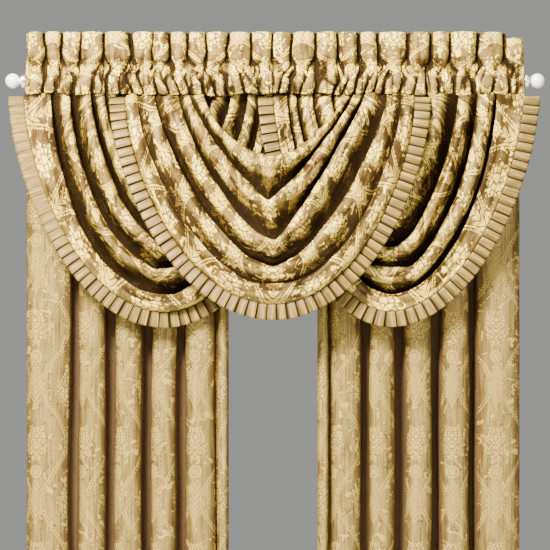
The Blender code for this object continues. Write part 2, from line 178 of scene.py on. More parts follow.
def add_block(x, y_range, z_range, width):
    """A plain bar of the bracket between two depths and two heights."""
    bpy.ops.mesh.primitive_cube_add(size=1, location=(x, sum(y_range) / 2, sum(z_range) / 2))
    block = bpy.context.object
    block.scale = (width, y_range[1] - y_range[0], z_range[1] - z_range[0])
    bpy.ops.object.transform_apply(location=False, rotation=False, scale=True)
    return block


def add_screw(x, y, z, length, turn):
    """A round-headed screw facing the room, its slot cut across the head."""
    bpy.ops.mesh.primitive_uv_sphere_add(segments=24, ring_count=12, radius=SCREW_RADIUS,
                                         location=(x, y, z))
    screw = bpy.context.object
    screw.scale = (1.0, length / SCREW_RADIUS, 1.0)
    bpy.ops.mesh.primitive_cube_add(size=1, location=(x, y - length, z), rotation=(0, turn, 0))
    slot = bpy.context.object
    slot.scale = (SCREW_RADIUS * 2.2, length * 0.9, SCREW_RADIUS * 0.28)
    combine(screw, slot, "DIFFERENCE")
    return screw


def build_bracket(word, side, material):
    """One bracket, cast in one piece with its edges eased, and its three screws."""
    x = side * (CUP_INNER_X + CUP_WIDTH / 2)
    bracket = add_block(x, (FRONT_ROD_Y + CUP_BORE, -0.002), (ARM_TOP_Z - ARM_HEIGHT, ARM_TOP_Z),
                        CUP_WIDTH * 0.9)
    solids = [
        add_block(x, (-PLATE["thickness"], 0.0), (PLATE["bottom"], PLATE["top"]), PLATE["width"]),
        add_ring(x, FRONT_ROD_Y, CUP_RADIUS, CUP_BORE, CUP_WIDTH),
        add_ring(x, REAR_ROD_Y, REAR_CUP_RADIUS, REAR_CUP_BORE, CUP_WIDTH),
    ]
    for solid in solids:
        combine(bracket, solid, "UNION")
    apply_modifier(bracket, "BEVEL", width=0.0009, segments=2, limit_method="ANGLE")
    smooth_faces(bracket)
    settle(bracket, "bracket_" + word + "_cast", material)
    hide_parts("bracket_" + word)
    for number, place in enumerate(SCREWS):
        screw = add_screw(x, *place)
        smooth_faces(screw)
        settle(screw, f"bracket_{word}_screw_{number}", material)


nickel = satin_nickel()
for word, side in (("left", -1), ("right", 1)):
    build_bracket(word, side, nickel)


# Rods
# Two steel tubes with the same nickel plate. The front one carries the valance and the rear one the
# curtains. Each lies in the brackets' rings, and the cloth hides nearly all of both.
RODS = {
    "front_rod": {"y": FRONT_ROD_Y, "radius": 0.0125, "half": 0.7793, "wall": 0.0012},
    "rear_rod": {"y": REAR_ROD_Y, "radius": 0.008, "half": 0.783, "wall": 0.001},
}


def build_rod(name, size):
    """An open tube with a thin wall."""
    bpy.ops.mesh.primitive_cylinder_add(vertices=48, radius=size["radius"], depth=size["half"] * 2,
                                        location=(0, size["y"], 0), rotation=(0, math.pi / 2, 0),
                                        end_fill_type="NOTHING")
    rod = bpy.context.object
    apply_modifier(rod, "SOLIDIFY", thickness=size["wall"], offset=-1.0)
    smooth_faces(rod)
    settle(rod, name + "_tube", nickel)
    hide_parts(name)


for rod_name, rod_size in RODS.items():
    build_rod(rod_name, rod_size)


# Curtains
# A pair cut from a pale damask with fine upright stripes, each gathered on its own rod pocket behind
# the valance. They fall in broad flat puffs with deep narrow folds between them, down to a sewn hem.
CLOTH = 0.0014
# The warm tint of the gloss on both cloths' threads.
SHEEN = "#FFE4B4"
PANEL = {
    "motif": "#A08842", "motif_low": "#86723C", "ground": "#766534", "streak": "#5C4C24", "gleam": "#897641",
    "outline": "#372A13", "shade": "#8C7254", "shade_deep": "#584430",
}
# The pattern's repeat and its petals in metres, the scales of its scrolls and stripes, and the scale and
# strength of its patches of painted shade.
PANEL_WEAVE = {
    "repeat": (0.118, 0.36), "cell": 0.0125, "scroll": 34.0, "stripe_scale": (230.0, 5.0, 0.0),
    "shade_patch_scale": (60.0, 13.0, 0.0), "shade_patchiness": 0.7, "contrast": 0.85, "relief": 0.0010,
}
# Each puff's two sides, and how far back the fold after it goes.
PANEL_COLUMNS = ("left", "right", "fold_back")
PANEL_PUFFS = (
    (-0.774, -0.642, 0.062),
    (-0.616, -0.531, 0.066),
    (-0.498, -0.418, 0.066),
    (-0.384, -0.308, 0.062),
    (-0.277, -0.190, 0.026),
    (-0.180, -0.145, 0.0),
)
PANEL_FOLD_BACK = 0.066
# Across one puff: share of its width, how far forward it stands, and how much painted shade it takes.
PUFF_STEPS = (
    (0.0, -0.010, 0.46), (0.06, 0.0, 0.30), (0.26, 0.012, 0.04), (0.5, 0.016, 0.0),
    (0.74, 0.012, 0.04), (0.94, 0.0, 0.30), (1.0, -0.010, 0.46),
)
PANEL_TOP_LEFT = -0.757
PANEL_TOP_RIGHT = -0.160
PANEL_SHOULDER = 0.021
PANEL_BOTTOM_Z = -2.090
PANEL_SEAM_Z = -0.042
PANEL_FULL_Z = -0.320
PANEL_HEADER_Z = 0.036
# The pocket, from its seam up the back, over the frill above the rod and down its front: height, and
# how far forward of the rear rod's middle.
PANEL_POCKET = (
    (PANEL_SEAM_Z, -0.0045), (-0.030, -0.008), (-0.008, -0.0132), (0.008, -0.0128), (0.017, -0.0026),
    (0.028, -0.0022), (0.0355, -0.0016), (PANEL_HEADER_Z, 0.0), (0.0355, 0.0016), (0.028, 0.0024),
    (0.017, 0.0030), (0.008, 0.0128), (-0.008, 0.0134), (-0.030, 0.009), (-0.046, 0.0048),
)
# Heights of the rows below the pocket, closer together where the gathers open into puffs.
PANEL_FALLS = np.concatenate([np.linspace(-0.060, -0.34, 14), np.linspace(-0.37, PANEL_BOTTOM_Z, 52)])
PANEL_HEM = 0.080
HEM_SEAM_HALF = 0.018
HEM_SEAM_DEPTH = 0.0008
RIGHT_PANEL_SHIFT = -0.012


def soft_noise(a, b, seed):
    """A smooth uneven height, -1 to 1, with about one rise or dip to each unit of a and b."""
    heights = np.random.default_rng(seed).uniform(-1, 1, (64, 64))
    a, b = np.broadcast_arrays(np.asarray(a, float), np.asarray(b, float))
    ia, ib = np.floor(a).astype(int), np.floor(b).astype(int)
    fa, fb = a - ia, b - ib
    fa, fb = fa * fa * (3 - 2 * fa), fb * fb * (3 - 2 * fb)
    low = heights[ia % 64, ib % 64] * (1 - fa) + heights[(ia + 1) % 64, ib % 64] * fa
    high = heights[ia % 64, (ib + 1) % 64] * (1 - fa) + heights[(ia + 1) % 64, (ib + 1) % 64] * fa
    return low * (1 - fb) + high * fb


def smoothstep(value, start, end):
    share = np.clip((value - start) / (end - start), 0.0, 1.0)
    return share * share * (3.0 - 2.0 * share)


def smooth_path(controls, steps):
    """A smooth curve through control points, which lie along the first axis, in steps to each span."""
    ends = np.concatenate([2 * controls[:1] - controls[1:2], controls, 2 * controls[-1:] - controls[-2:-1]])
    points = []
    for k in range(len(controls) - 1):
        a, b, c, d = ends[k:k + 4]
        for s in np.arange(steps) / steps:
            points.append(b + 0.5 * s * (c - a + s * (2 * a - 5 * b + 4 * c - d + s * (3 * (b - c) + d - a))))
    points.append(controls[-1])
    return np.array(points)


def run_length(points, axis):
    """The length run so far along one axis of a grid of points."""
    steps = np.linalg.norm(np.diff(points, axis=axis), axis=-1)
    start = np.zeros_like(np.take(steps, [0], axis=axis))
    return np.cumsum(np.concatenate([start, steps], axis=axis), axis=axis)


def cloth_object(name, grid, u, v, fold, thickness, material):
    """A sheet of cloth over a grid of points, with its flat place in metres as its UV map.

    fold says how deep in a fold each point lies, from 0 to 1. The material paints shade on the cloth there.
    """
    rows, columns = grid.shape[:2]
    index = np.arange(rows * columns).reshape(rows, columns)
    faces = np.stack([index[:-1, :-1], index[1:, :-1], index[1:, 1:], index[:-1, 1:]], axis=-1).reshape(-1, 4)
    mesh = bpy.data.meshes.new(name)
    mesh.from_pydata(grid.reshape(-1, 3).tolist(), [], faces.tolist())
    flat = np.stack([np.broadcast_to(u, index.shape), np.broadcast_to(v, index.shape)], axis=-1).reshape(-1, 2)
    layer = mesh.uv_layers.new(name="flat_cloth")
    layer.data.foreach_set("uv", flat[faces.reshape(-1)].astype(np.float32).reshape(-1))
    # The fold attribute carries the painted shade.
    depth = mesh.attributes.new("fold", "FLOAT", "POINT")
    depth.data.foreach_set("value", np.clip(fold, 0, 1).astype(np.float32).reshape(-1))
    mesh.shade_smooth()
    obj = bpy.data.objects.new(name, mesh)
    bpy.context.scene.collection.objects.link(obj)
    apply_modifier(obj, "SOLIDIFY", thickness=thickness, offset=0.0, use_rim=True)
    return settle(obj, name, material)


def drawn_line(material, value, level, near, far):
    """A fine line where a value passes a level, full up to near it and gone by far."""
    off = add_node(material, "Math", (value, level), operation="SUBTRACT")
    off = add_node(material, "Math", (off,), operation="ABSOLUTE")
    return add_node(material, "MapRange", {0: off, 1: near, 2: far, 3: 1.0, 4: 0.0})


def off_centre(material, count):
    """How far a count of repeats is from the middle of its own repeat, -0.5 to 0.5."""
    share = add_node(material, "Math", (count,), operation="FRACT")
    return add_node(material, "Math", (share, 0.5), operation="SUBTRACT")


def flat_noise(material, uv, scale, detail):
    """Uneven threads or patches on the flat cloth, with a scale of its own for each direction."""
    place = add_node(material, "VectorMath", (uv, scale), operation="MULTIPLY")
    return add_node(material, "TexNoise", {"Vector": place, "Scale": 1.0, "Detail": detail})


def slubbed_stripes(material, uv, scale, colours, streak_end):
    """Stripes of thick and thin threads. Gives their height and their colour."""
    stripe = flat_noise(material, uv, scale, 3.0)
    ramp = add_node(material, "ValToRGB", (stripe,))
    stops = ramp.node.color_ramp.elements
    stops[0].position, stops[0].color = streak_end, linear(colours["streak"])
    stops[1].position, stops[1].color = 0.70, linear(colours["gleam"])
    stops.new(0.52).color = linear(colours["ground"])
    return stripe, ramp


def damask_flowers(material, x, y, spread, cell):
    """A bunch of small round petals. Gives its area, its outlines, and a tone that is random per petal, with
    painted shading that rounds it.
    """
    place = add_node(material, "CombineXYZ", (x, y, 0.0))
    squash = add_node(material, "VectorMath", (place, (1 / spread[0], 1 / spread[1], 1.0)),
                      operation="MULTIPLY")
    reach = add_node(material, "VectorMath", (squash,), operation="LENGTH").node.outputs["Value"]
    ragged = add_node(material, "TexNoise", {"Vector": place, "Scale": 0.9 / cell, "Detail": 0.0}).node.outputs
    edge = add_node(material, "Math", (ragged[0], -0.9, reach), operation="MULTIPLY_ADD")
    area = add_node(material, "Math", (edge, 0.56), operation="LESS_THAN")
    bend = add_node(material, "VectorMath", (ragged["Color"], (cell * 0.9, cell * 0.9, 0.0), place),
                    operation="MULTIPLY_ADD")
    cells = add_node(material, "TexVoronoi", {"Vector": bend, "Scale": 1 / cell, "Randomness": 1.0},
                     voronoi_dimensions="2D").node.outputs
    rim = add_node(material, "TexVoronoi", {"Vector": bend, "Scale": 1 / cell, "Randomness": 1.0},
                   voronoi_dimensions="2D", feature="DISTANCE_TO_EDGE")
    lines = add_node(material, "MapRange", {0: rim, 1: 0.05, 2: 0.17, 3: 1.0, 4: 0.0})
    # Painted shading: each petal is lighter towards its upper side and darker towards its base, as if rounded
    # in the light.
    spoke = add_node(material, "VectorMath", (bend, cells["Position"]), operation="SUBTRACT")
    petal_painted_shading = add_node(material, "VectorMath", (spoke, (0.35 / cell, 0.75 / cell, 0.0)),
                     operation="DOT_PRODUCT").node.outputs["Value"]
    chance = add_node(material, "SeparateXYZ", (cells["Color"],))
    tone = add_node(material, "Math", (chance, 0.6, petal_painted_shading), operation="MULTIPLY_ADD")
    tone = add_node(material, "Math", (tone, 0.25), operation="ADD", use_clamp=True)
    return area, add_node(material, "Math", (lines, area), operation="MULTIPLY"), tone


def damask_scrolls(material, place, scale, level):
    """Small curling leaves that fill in between the larger motifs."""
    curl = add_node(material, "TexNoise", {"Vector": place, "Scale": scale, "Detail": 1.5, "Roughness": 0.45,
                                           "Distortion": 1.4})
    area = add_node(material, "Math", (curl, level), operation="GREATER_THAN")
    return area, drawn_line(material, curl, level, 0.006, 0.028)


def damask_rosette(material, x, y, radius, petals):
    """A round open flower with two rings of petals."""
    place = add_node(material, "CombineXYZ", (x, y, 0.0))
    distance = add_node(material, "VectorMath", (place,), operation="LENGTH").node.outputs["Value"]
    share = add_node(material, "Math", (distance, radius), operation="DIVIDE")
    angle = add_node(material, "Math", (y, x), operation="ARCTAN2")
    turn = add_node(material, "Math", (angle, petals / 2), operation="MULTIPLY")
    wave = add_node(material, "Math", (add_node(material, "Math", (turn,), operation="COSINE"),),
                    operation="ABSOLUTE")
    rim = add_node(material, "Math", (wave, -0.22, share), operation="MULTIPLY_ADD")
    area = add_node(material, "Math", (rim, 0.78), operation="LESS_THAN")
    ring = drawn_line(material, rim, 0.34, 0.02, 0.07)
    outer = drawn_line(material, rim, 0.74, 0.02, 0.06)
    split = add_node(material, "MapRange", {0: wave, 1: 0.10, 2: 0.24, 3: 0.8, 4: 0.0})
    lines = add_node(material, "Math", (ring, outer), operation="MAXIMUM")
    lines = add_node(material, "Math", (lines, split), operation="MAXIMUM")
    return area, add_node(material, "Math", (lines, area), operation="MULTIPLY")


def damask_leaves(material, x, y, spread, pitch):
    """A spray of pointed leaves up both sides of a stem."""
    side = add_node(material, "Math", (x,), operation="ABSOLUTE")
    height = add_node(material, "Math", (y, spread[1]), operation="DIVIDE")
    taper = add_node(material, "Math", (height, height), operation="MULTIPLY")
    taper = add_node(material, "Math", (taper, -1.0, 1.0), operation="MULTIPLY_ADD")
    reach = add_node(material, "Math", (taper, spread[0]), operation="MULTIPLY")
    reach = add_node(material, "Math", (reach, 0.0005), operation="MAXIMUM")
    out = add_node(material, "Math", (side, reach), operation="DIVIDE")
    lean = add_node(material, "Math", (side, -1.5, y), operation="MULTIPLY_ADD")
    count = add_node(material, "Math", (lean, pitch), operation="DIVIDE")
    off = add_node(material, "Math", (off_centre(material, count),), operation="ABSOLUTE")
    width = add_node(material, "Math", (out, 2.0), operation="POWER")
    width = add_node(material, "Math", (width, -0.46, 0.46), operation="MULTIPLY_ADD")
    edge = add_node(material, "Math", (width, off), operation="SUBTRACT")
    leaf = add_node(material, "MapRange", {0: edge, 1: 0.0, 2: 0.03, 3: 0.0, 4: 1.0})
    inside = add_node(material, "Math", (out, 1.0), operation="LESS_THAN")
    leaf = add_node(material, "Math", (leaf, inside), operation="MULTIPLY")
    rim = add_node(material, "MapRange", {0: edge, 1: 0.03, 2: 0.12, 3: 1.0, 4: 0.0})
    vein = add_node(material, "MapRange", {0: off, 1: 0.03, 2: 0.09, 3: 0.8, 4: 0.0})
    lines = add_node(material, "Math", (rim, vein), operation="MAXIMUM")
    return leaf, add_node(material, "Math", (lines, leaf), operation="MULTIPLY")


def damask_strap(material, x, y, repeat, width, bead):
    """A waving strap with dark edges, and a string of beads along its inner side."""
    wave = add_node(material, "Math", (y, 2 * math.pi / repeat[1]), operation="MULTIPLY")
    wave = add_node(material, "Math", (wave,), operation="COSINE")
    middle = add_node(material, "Math", (wave, repeat[0] * 0.34, repeat[0] * 0.52), operation="MULTIPLY_ADD")
    off = add_node(material, "Math", (x, middle), operation="SUBTRACT")
    away = add_node(material, "Math", (off,), operation="ABSOLUTE")
    strap = add_node(material, "Math", (away, width), operation="LESS_THAN")
    edge = add_node(material, "MapRange", {0: away, 1: width * 0.6, 2: width * 0.8, 3: 0.0, 4: 1.0})
    edge = add_node(material, "Math", (edge, strap), operation="MULTIPLY")
    along = off_centre(material, add_node(material, "Math", (y, bead), operation="DIVIDE"))
    along = add_node(material, "Math", (along, bead), operation="MULTIPLY")
    beside = add_node(material, "Math", (off, width + bead * 0.6), operation="ADD")
    spot = add_node(material, "VectorMath", (add_node(material, "CombineXYZ", (along, beside, 0.0)),),
                    operation="LENGTH").node.outputs["Value"]
    beads = add_node(material, "Math", (spot, bead * 0.36), operation="LESS_THAN")
    return add_node(material, "Math", (strap, beads), operation="MAXIMUM"), edge


def damask(name, colours, repeat, cell, scroll, stripe_scale, shade_patch_scale, shade_patchiness, contrast, relief):
    """A woven damask: satin motifs, each with a fine dark outline, on a ground of slubbed stripes.

    The motifs stand a little proud and take the light more softly than the ground. The pattern is laid
    out from the cloth's flat size, mirrored about each motif's axis with a half drop, as damask is woven.
    """
    material = new_material(name)
    uv = add_node(material, "UVMap", uv_map="flat_cloth")
    wander = add_node(material, "TexNoise", {"Vector": uv, "Scale": 14.0, "Detail": 1.0}).node.outputs["Color"]
    wander = add_node(material, "VectorMath", (wander, (0.5, 0.5, 0.5)), operation="SUBTRACT")
    place = add_node(material, "VectorMath", (wander, (0.012, 0.012, 0.0), uv), operation="MULTIPLY_ADD")
    u, v = add_node(material, "SeparateXYZ", (place,)).node.outputs[:2]
    x = add_node(material, "Math", (u, repeat[0]), operation="PINGPONG")
    x_far = add_node(material, "Math", (repeat[0], x), operation="SUBTRACT")
    heights = []
    for drop in (0.5, 0.0, 0.25, 0.75):
        turn = add_node(material, "Math", (v, 1 / repeat[1], drop), operation="MULTIPLY_ADD")
        heights.append(add_node(material, "Math", (off_centre(material, turn), repeat[1]),
                                operation="MULTIPLY"))
    w, h = repeat
    motifs = (
        damask_scrolls(material, place, scroll, 0.60),
        damask_strap(material, x, heights[0], repeat, w * 0.030, 0.0085),
        damask_leaves(material, x_far, heights[0], (w * 0.34, h * 0.22), cell * 1.5),
        damask_leaves(material, x, heights[1], (w * 0.28, h * 0.18), cell * 1.25),
        damask_flowers(material, x, heights[0], (w * 0.36, h * 0.19), cell),
        damask_flowers(material, x_far, heights[1], (w * 0.30, h * 0.15), cell * 0.85),
        damask_rosette(material, x_far, heights[2], w * 0.21, 12),
        damask_rosette(material, x, heights[3], w * 0.18, 10),
    )
    area, lines = motifs[0]
    # The motifs' tones mix their two colours; the petals' tones carry their painted shading.
    shades = (0.5, 0.5, 0.5, 1.0)
    for motif_area, motif_lines, *tones in motifs[1:]:
        clear = add_node(material, "Math", (1.0, motif_area), operation="SUBTRACT")
        area = add_node(material, "Math", (area, motif_area), operation="MAXIMUM")
        lines = add_node(material, "Math", (lines, clear, motif_lines), operation="MULTIPLY_ADD")
        for tone in tones:
            shades = add_node(material, "MixRGB", (motif_area, shades, tone))
    stripe, ramp = slubbed_stripes(material, uv, stripe_scale, colours, 0.34)
    tone = add_node(material, "MapRange", {0: stripe, 1: 0.3, 2: 0.7, 3: 0.82, 4: 1.06})
    motif = add_node(material, "MixRGB", (shades, linear(colours["motif_low"]), linear(colours["motif"])))
    motif = add_node(material, "MixRGB", (1.0, motif, tone), blend_type="MULTIPLY")
    colour = add_node(material, "MixRGB", (area, ramp, motif))
    worn = add_node(material, "TexNoise", {"Vector": uv, "Scale": 55.0, "Detail": 1.0})
    worn = add_node(material, "MapRange", {0: worn, 1: 0.38, 2: 0.58, 3: contrast * 0.72, 4: contrast})
    drawn = add_node(material, "Math", (lines, worn), operation="MULTIPLY")
    colour = add_node(material, "MixRGB", (drawn, colour, linear(colours["outline"])))
    # Painted shade: in a fold, and unevenly, the satin ground turns dark and brown before the motifs do.
    fold = add_node(material, "Attribute", attribute_name="fold").node.outputs["Fac"]
    shade_patch = flat_noise(material, uv, shade_patch_scale, 3.0)
    uneven = add_node(material, "Math", (shade_patch, 0.48), operation="SUBTRACT")
    turned = add_node(material, "Math", (uneven, shade_patchiness, fold), operation="MULTIPLY_ADD")
    turned = add_node(material, "Math", (area, -0.17, turned), operation="MULTIPLY_ADD")
    # half and deep are the painted half shade and deep shade; turned is how much painted shade lies here.
    half = add_node(material, "MapRange", {0: turned, 1: -0.04, 2: 0.36, 3: 0.0, 4: 0.95})
    deep = add_node(material, "MapRange", {0: turned, 1: 0.27, 2: 0.68, 3: 0.0, 4: 0.95})
    painted_shade_tint = add_node(material, "MixRGB", (half, (1.0, 1.0, 1.0, 1.0), linear(colours["shade"])))
    colour = add_node(material, "MixRGB", (1.0, colour, painted_shade_tint), blend_type="MULTIPLY")
    colour = add_node(material, "MixRGB", (deep, colour, linear(colours["shade_deep"])))
    rough = add_node(material, "MapRange", {0: area, 3: 0.42, 4: 0.55})
    # The gloss fades under the painted shade.
    shine = add_node(material, "MapRange", {0: turned, 1: 0.1, 2: 0.6, 3: 0.32, 4: 0.0})
    weave = flat_noise(material, uv, (1400.0, 1400.0, 0.0), 1.0)
    raised = add_node(material, "Math", (area, 0.5, 0.0), operation="MULTIPLY_ADD")
    raised = add_node(material, "Math", (lines, -0.7, raised), operation="MULTIPLY_ADD")
    raised = add_node(material, "Math", (stripe, 0.16, raised), operation="MULTIPLY_ADD")
    raised = add_node(material, "Math", (weave, 0.12, raised), operation="MULTIPLY_ADD")
    bump = add_node(material, "Bump", {"Strength": 1.0, "Distance": relief, "Height": raised})
    shader = add_node(material, "BsdfPrincipled", {
        "Base Color": colour, "Roughness": rough, "Normal": bump,
        "Specular IOR Level": shine, "Specular Tint": linear(SHEEN)})
    add_node(material, "OutputMaterial", {"Surface": shader})
    return material


def panel_section():
    """Across one curtain: the place, how far forward it stands, and how much painted shade it takes in its
    fold.
    """
    controls = []
    for k, puff in enumerate(PANEL_PUFFS):
        row = dict(zip(PANEL_COLUMNS, puff))
        width = row["right"] - row["left"]
        controls += [(row["left"] + s * width, PANEL_SHOULDER + out, dark) for s, out, dark in PUFF_STEPS]
        if k < len(PANEL_PUFFS) - 1:
            far = PANEL_PUFFS[k + 1][0]
            back = PANEL_SHOULDER - row["fold_back"]
            share = row["fold_back"] / PANEL_FOLD_BACK
            near = row["right"]
            controls += [(near + 0.003, back * 0.5, 0.66 * share), (near + 0.005, back + 0.006, 0.9 * share),
                         ((near + far) / 2, back, share), (far - 0.005, back + 0.006, 0.9 * share),
                         (far - 0.003, back * 0.5, 0.66 * share)]
    controls = np.array(controls)
    # The curtain's two outer edges take some painted shade too.
    controls[0, 2] = controls[-1, 2] = 0.2
    return controls


def build_panel(word, mirror, seed, material):
    """One curtain, from its pocket on the rear rod to its hem. The right one is the left one mirrored."""
    lower, ahead, dark = smooth_path(panel_section(), 5).T
    upper = np.linspace(PANEL_TOP_LEFT, PANEL_TOP_RIGHT, len(lower))
    columns = np.arange(len(lower))
    gather = 0.004 * np.sin(columns * 0.9) + 0.002 * soft_noise(columns * 0.31, 0.0, seed)
    rows = []
    for z, out in PANEL_POCKET:
        rows.append(np.stack([upper, REAR_ROD_Y - out - gather * 0.5, np.full(len(upper), z)], axis=1))
    drift_share = np.linspace(-1, 1, len(lower))
    for z in PANEL_FALLS:
        grown = smoothstep(z, PANEL_SEAM_Z, PANEL_FULL_Z)
        sway = 0.006 * soft_noise(drift_share * 5, z * 1.7, seed + 1)
        sway += 0.003 * soft_noise(drift_share * 16, z * 3.1, seed + 2)
        swell = 1.0 + 0.10 * soft_noise(drift_share * 6, z * 1.3, seed + 3)
        x = upper + (lower + sway * smoothstep(1.0 - np.abs(drift_share), 0.0, 0.12) - upper) * grown
        ripple = 0.0012 * soft_noise(columns * 0.21, z * 9, seed + 4)
        out = gather * (1 - grown) + (ahead * swell + ripple) * grown
        rows.append(np.stack([x, REAR_ROD_Y - out, np.full(len(x), z)], axis=1))
    grid = np.array(rows)
    hem_seam = np.abs(grid[:, :, 2] - (PANEL_BOTTOM_Z + PANEL_HEM)) < HEM_SEAM_HALF
    grid[:, :, 1] += HEM_SEAM_DEPTH * hem_seam
    # Painted shade in the folds, fading out towards the pocket.
    fold = dark[None, :] * smoothstep(grid[:, :, 2], -0.05, -0.25)
    u = np.broadcast_to(run_length(grid[-1:], 1)[0], grid.shape[:2])
    v = -run_length(grid, 0)[:, [len(lower) // 2]]
    if mirror:
        grid = grid[:, ::-1].copy()
        grid[:, :, 0] *= -1.0
        grid[:, :, 0] += RIGHT_PANEL_SHIFT * smoothstep(grid[:, :, 2], PANEL_SEAM_Z, PANEL_FULL_Z)
        fold = fold[:, ::-1]
        u = -u[:, ::-1]
    # The seed also moves the pattern, because each sheet is cut from another place in it.
    panel = cloth_object("curtain_" + word, grid, u + seed * 0.05, v, fold, CLOTH, material)
    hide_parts("panel_" + word)


panel_damask = damask("striped_damask_curtain", PANEL, **PANEL_WEAVE)
for panel_word, panel_mirror, panel_seed in (("left", False, 11), ("right", True, 23)):
    build_panel(panel_word, panel_mirror, panel_seed, panel_damask)


# Heading
# One long strip of gold damask folded over the front rod and stitched through: above the stitching it
# stands up as a gathered frill, and below it the pocket is drawn up on the rod in tight uneven gathers.
GOLD = {
    "motif": "#FCDD64", "motif_low": "#B39747", "ground": "#715C2D", "streak": "#634F25", "gleam": "#826D37",
    "outline": "#261A0A", "shade": "#8A7A66", "shade_deep": "#1E150B",
}
# The gold's patches of painted shade are stronger than the curtains'.
GOLD_WEAVE = {
    "repeat": (0.105, 0.31), "cell": 0.0155, "scroll": 42.0, "stripe_scale": (260.0, 9.0, 0.0),
    "shade_patch_scale": (11.0, 34.0, 0.0), "shade_patchiness": 1.5, "contrast": 0.96, "relief": 0.0014,
}
HEADING_HALF = 0.766
HEADING_TOP_Z = 0.148
HEADING_FOOT_Z = -0.0485
HEADING_COLUMNS = 620
# Share of the height, and how far the front and back layers stand from the rod's middle.
HEADING_LAYERS = (
    (1.000, 0.0058, -0.0022), (0.93, 0.0052, -0.0020), (0.78, 0.0042, -0.0018), (0.60, 0.0036, -0.0016),
    (0.50, 0.0040, -0.0020), (0.42, 0.0060, -0.0040), (0.36, 0.0105, -0.0090), (0.28, 0.0175, -0.0155),
    (0.19, 0.0200, -0.0180), (0.10, 0.0190, -0.0172), (0.03, 0.0165, -0.0140), (0.0, 0.0135, -0.0120),
)
# Where the gaps between the puffs of the frill lie along the rod.
FRILL_GAPS = (
    -0.766, -0.708, -0.660, -0.598, -0.525, -0.444, -0.376, -0.326, -0.268, -0.213, -0.145, -0.074,
    -0.006, 0.051, 0.126, 0.194, 0.259, 0.316, 0.405, 0.480, 0.539, 0.628, 0.711, 0.766,
)
# Where the slits between the three swags' folds run up into the pocket.
POCKET_GAPS = (
    -0.775, -0.712, -0.679, -0.620, -0.559, -0.519, -0.478, -0.436, -0.400, -0.357, -0.322, -0.290,
    -0.257, -0.212, -0.181, -0.146, -0.092, -0.045, 0.008, 0.042, 0.074, 0.124, 0.179, 0.205, 0.236,
    0.272, 0.303, 0.333, 0.380, 0.424, 0.466, 0.505, 0.548, 0.612, 0.671, 0.720, 0.775,
)
FRILL_DEPTH = 0.034
POCKET_DEPTH = 0.020
LAST_PUFF_DROP = 0.018
# The middle of the cloth comes no nearer to the rod's centre than this.
CLEAR_OF_ROD = 0.0145


def gathers(x, gaps, seed, taper):
    """Gathered cloth along the rod: its height, 0 in a gap to about 1 on a puff, and how near a gap it is.

    taper narrows each puff towards its middle, as where it runs down into the stitching.
    """
    gaps = np.array(gaps)
    k = np.clip(np.searchsorted(gaps, x, side="right") - 1, 0, len(gaps) - 2)
    share = np.clip((x - gaps[k]) / (gaps[k + 1] - gaps[k]), 0.0, 1.0)
    lean = np.random.default_rng(seed).uniform(0.78, 1.28, len(gaps))[k]
    size = np.random.default_rng(seed + 1).uniform(0.78, 1.1, len(gaps))[k]
    off = np.minimum(np.abs(2.0 * share ** lean - 1.0) / taper, 1.0)
    return size * (1.0 - off ** 3.0) ** 0.7, off


def creases(a, b, seed):
    """Sharp creases between soft pillows, 0 on a crease and up to 1 between."""
    return np.minimum(np.abs(soft_noise(a, b, seed)), 0.5) * 2.0


def seam_lift(x):
    """How far the gathers draw up the seam between the pocket and the swags."""
    return 0.006 * (1.0 - gathers(x, POCKET_GAPS, 9, 1.0)[0]) + 0.0055 * (1.0 + soft_noise(x * 21, 0.0, 17))


def heading_row(x, z, foot):
    """One row along the heading: how far up the frill it lies, how far it puffs out, and how much painted
    shade it takes.
    """
    above = smoothstep(z, 0.018, 0.082)
    below = 1.0 - smoothstep(z, -0.012, 0.056)
    at_stitch = np.exp(-((z - 0.030) / 0.030) ** 2)
    wander = (0.012 * at_stitch + 0.004) * soft_noise(x * 24, z * 22, 3)
    lean = 0.25 * np.sign(x) * (HEADING_FOOT_Z - z) * (np.abs(x) < 0.46)
    frill, frill_off = gathers(x + wander, FRILL_GAPS, 7, 0.30 + 0.70 * above)
    pocket, pocket_off = gathers(x + wander + lean, POCKET_GAPS, 9, 0.35 + 0.65 * below)
    crush = creases((x + 1.5 * wander) * 84, z * 11, 13)
    dents = creases(x * 26 + 7, z * 7 + x * 9, 14)
    # Each kind of gather fades out where the next takes over.
    has_frill = smoothstep(z, 0.008, 0.040)
    has_pocket = 1.0 - smoothstep(z, 0.030, 0.070)
    full = np.maximum(np.maximum(frill * has_frill, pocket * has_pocket), 0.72 * at_stitch * crush)
    depth = (FRILL_DEPTH * above + POCKET_DEPTH * (1 - above)) * (full - 0.6)
    depth += 0.0045 * (dents - 0.5) * (1 - 0.6 * above)
    tuck = np.clip(1.0 - creases(x * 47 + 3, z * 5 - x * 4, 21) / 0.30, 0.0, 1.0) * has_pocket
    depth -= 0.0042 * tuck
    # gap is painted shade: in the gaps between puffs, on the creases, dents and tucks, and a painted shadow
    # just above the foot.
    gap = np.minimum(smoothstep(frill_off, 0.76, 0.97) + 1.2 * (1 - has_frill),
                     smoothstep(pocket_off, 0.62, 0.94) + 1.2 * (1 - has_pocket))
    gap = np.minimum(gap, 1.3 - 1.3 * crush + 0.9 * (1 - at_stitch))
    gap = np.maximum(gap, 0.48 * (1 - dents / 0.25) * (1 - 0.6 * above))
    gap = np.maximum(gap, 0.62 * tuck)
    gap = np.maximum(gap, 0.16 * smoothstep(-z, -foot - 0.006, -foot))
    # Painted shade at the base of each puff of the frill, where it is drawn in.
    drawn_in_painted_shade = np.exp(-((z - 0.048) / 0.022) ** 2) * (0.5 + 0.5 * soft_noise(x * 34, z * 30, 19))
    return above, depth, np.maximum(gap, 0.46 * drawn_in_painted_shade)


